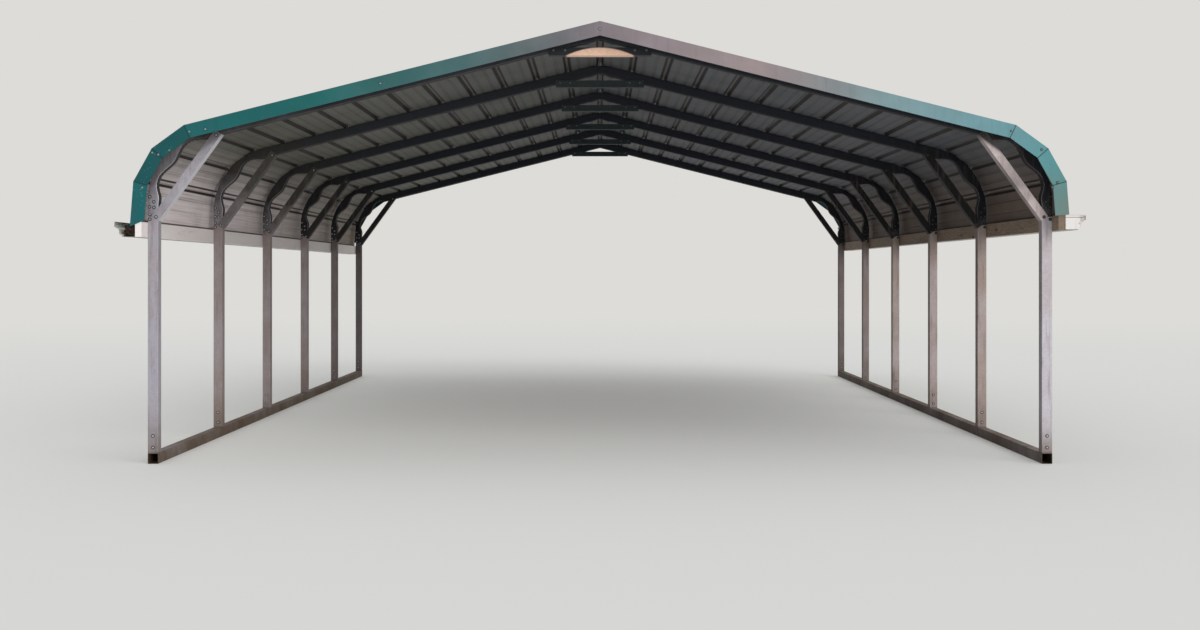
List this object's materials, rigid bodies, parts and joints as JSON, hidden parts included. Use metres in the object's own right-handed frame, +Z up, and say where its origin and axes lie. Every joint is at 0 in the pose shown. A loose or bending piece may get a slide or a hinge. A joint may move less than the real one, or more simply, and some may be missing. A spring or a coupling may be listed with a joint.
{
  "type": "open steel carport",
  "caption": "Open-sided carport: bent square-tube frames on ground rails carry ribbed sheets that fold down over the eaves, with gable trim, eave boards and gutters.",
  "frame": {"origin": "on the ground at the middle of the plan", "axes": "+X to the right seen from the front gable, +Y from the front gable to the rear one, +Z up"},
  "size_m": [5.7632, 7.9308, 2.6433],
  "materials": {
    "galvanised_tube": "galvanised, weathered, with rust stains",
    "galvanised_brace": "galvanised, weathered",
    "roof_sheet": "green outside, off-white backer inside",
    "gable_trim": "faded teal green",
    "painted_board": "cream paint, worn",
    "bare_board": "bare weathered softwood",
    "gutter": "white, dirty"
  },
  "bodies": {
    "root": {"base_rail_left": "galvanised_tube", "base_rail_right": "galvanised_tube", "rail_sleeves": "galvanised_tube", "leg_left_1": "galvanised_tube", "leg_left_2": "galvanised_tube", "leg_left_3": "galvanised_tube", "leg_left_4": "galvanised_tube", "leg_left_5": "galvanised_tube", "leg_left_6": "galvanised_tube", "leg_right_1": "galvanised_tube", "leg_right_2": "galvanised_tube", "leg_right_3": "galvanised_tube", "leg_right_4": "galvanised_tube", "leg_right_5": "galvanised_tube", "leg_right_6": "galvanised_tube", "bow_1": "galvanised_tube", "bow_2": "galvanised_tube", "bow_3": "galvanised_tube", "bow_4": "galvanised_tube", "bow_5": "galvanised_tube", "bow_6": "galvanised_tube", "knee_braces_left": "galvanised_brace", "knee_braces_right": "galvanised_brace", "peak_braces": "galvanised_brace", "roof_sheet_1": "roof_sheet", "roof_sheet_2": "roof_sheet", "roof_sheet_3": "roof_sheet", "roof_sheet_4": "roof_sheet", "roof_sheet_5": "roof_sheet", "roof_sheet_6": "roof_sheet", "roof_sheet_7": "roof_sheet", "front_rake_trim_left": "gable_trim", "front_rake_trim_right": "gable_trim", "front_corner_trim_left": "gable_trim", "front_corner_trim_right": "gable_trim", "rear_rake_trim_left": "gable_trim", "rear_rake_trim_right": "gable_trim", "rear_corner_trim_left": "gable_trim", "rear_corner_trim_right": "gable_trim", "eave_board_left": "painted_board", "eave_board_right": "bare_board", "gutter_left": "gutter", "gutter_right": "gutter", "gutter_end_caps": "gutter"}
  },
  "joints": []
}
